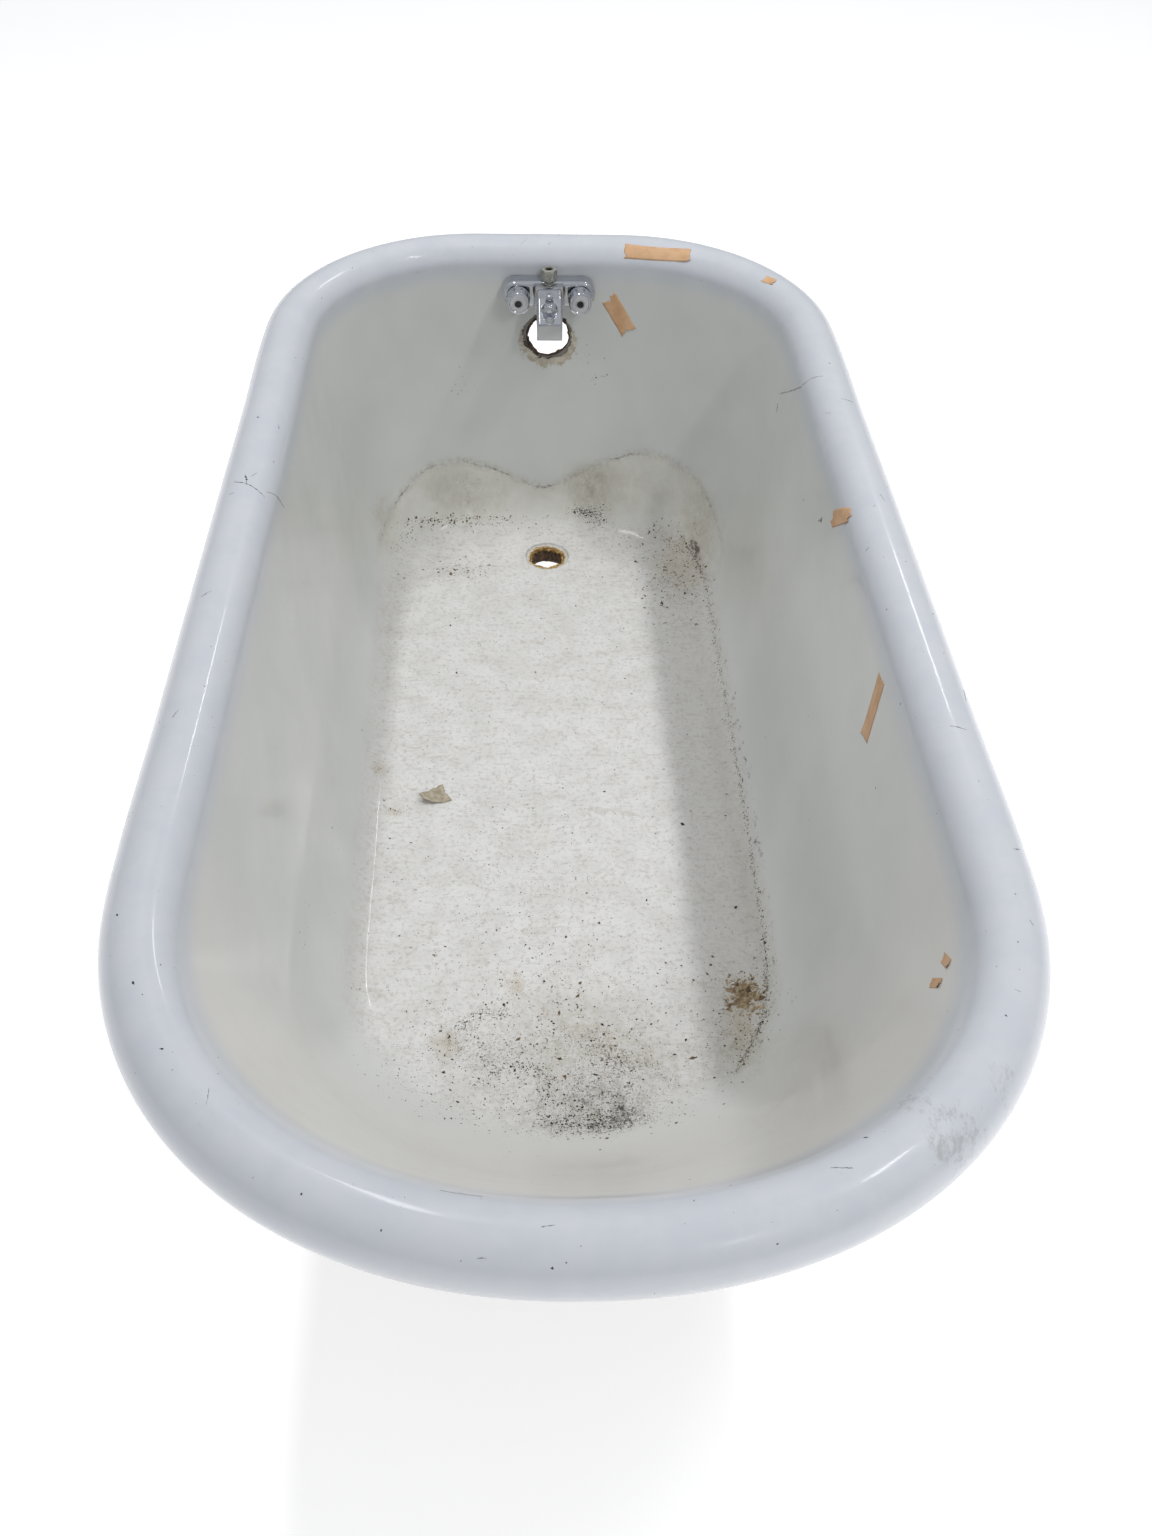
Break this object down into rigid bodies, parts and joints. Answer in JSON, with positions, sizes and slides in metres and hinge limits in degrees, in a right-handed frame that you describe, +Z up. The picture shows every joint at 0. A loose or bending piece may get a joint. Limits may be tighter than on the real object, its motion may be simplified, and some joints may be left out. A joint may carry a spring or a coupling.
{
  "type": "freestanding bathtub",
  "caption": "Roll-rim enamelled cast-iron bath on claw feet, one end sloping and rounded, with a two-handle filler on the end wall and open drain and overflow holes.",
  "frame": {"origin": "on the floor, under the middle of the rim", "axes": "+Y along the bath to the tap end, +X to the right of someone facing the tap, +Z up"},
  "size_m": [0.7626, 1.5242, 0.6],
  "materials": {
    "porcelain_enamel": "glossy vitreous enamel, worn matt on the floor",
    "raw_cast_iron": "unpainted casting with aged primer and rust",
    "foot_iron": "aged painted casting",
    "steel_fixings": "zinc plated",
    "chrome_plate": "polished chrome on a zinc or brass casting",
    "brass": "machined, dulled",
    "black_rubber": "moulded",
    "ceramic_disc": "lapped"
  },
  "bodies": {
    "tub": {"enamel_lining": "porcelain_enamel", "tub_casting": "raw_cast_iron", "foot_tap_left": "foot_iron", "foot_tap_right": "foot_iron", "foot_back_left": "foot_iron", "foot_back_right": "foot_iron", "foot_bolts": "steel_fixings", "foot_washers": "steel_fixings", "faucet_body": "chrome_plate", "spout": "chrome_plate", "shank_gaskets": "black_rubber", "shank_washers": "steel_fixings", "shank_locknuts": "brass", "hot_shank": "brass", "cold_shank": "brass", "riser_connector": "brass", "riser_nut": "brass", "riser_ferrule": "brass", "hot_fixed_disc": "ceramic_disc", "hot_seat_seal": "black_rubber", "hot_bonnet": "brass", "cold_fixed_disc": "ceramic_disc", "cold_seat_seal": "black_rubber", "cold_bonnet": "brass"},
    "hot_handle": {"hot_knob": "chrome_plate", "hot_knob_screw": "steel_fixings", "hot_stem": "brass", "hot_stem_oring": "black_rubber", "hot_rotor_disc": "ceramic_disc"},
    "cold_handle": {"cold_knob": "chrome_plate", "cold_knob_screw": "steel_fixings", "cold_stem": "brass", "cold_stem_oring": "black_rubber", "cold_rotor_disc": "ceramic_disc"},
    "diverter": {"diverter_knob": "chrome_plate", "diverter_rod": "brass", "diverter_gate": "brass", "diverter_seal": "black_rubber"}
  },
  "joints": [
    {"name": "hot_turn", "type": "hinge", "parent": "tub", "child": "hot_handle", "pos_m": [-0.04285, 0.65565, 0.54305], "axis": [0, -0.9987, 0.0514], "range_deg": [0, 90]},
    {"name": "cold_turn", "type": "hinge", "parent": "tub", "child": "cold_handle", "pos_m": [0.04285, 0.65565, 0.54305], "axis": [0, -0.9987, 0.0514], "range_deg": [-90, 0]},
    {"name": "diverter_lift", "type": "slide", "parent": "tub", "child": "diverter", "axis": [0, 0.0514, 0.9987], "range_m": [0, 0.012]}
  ]
}
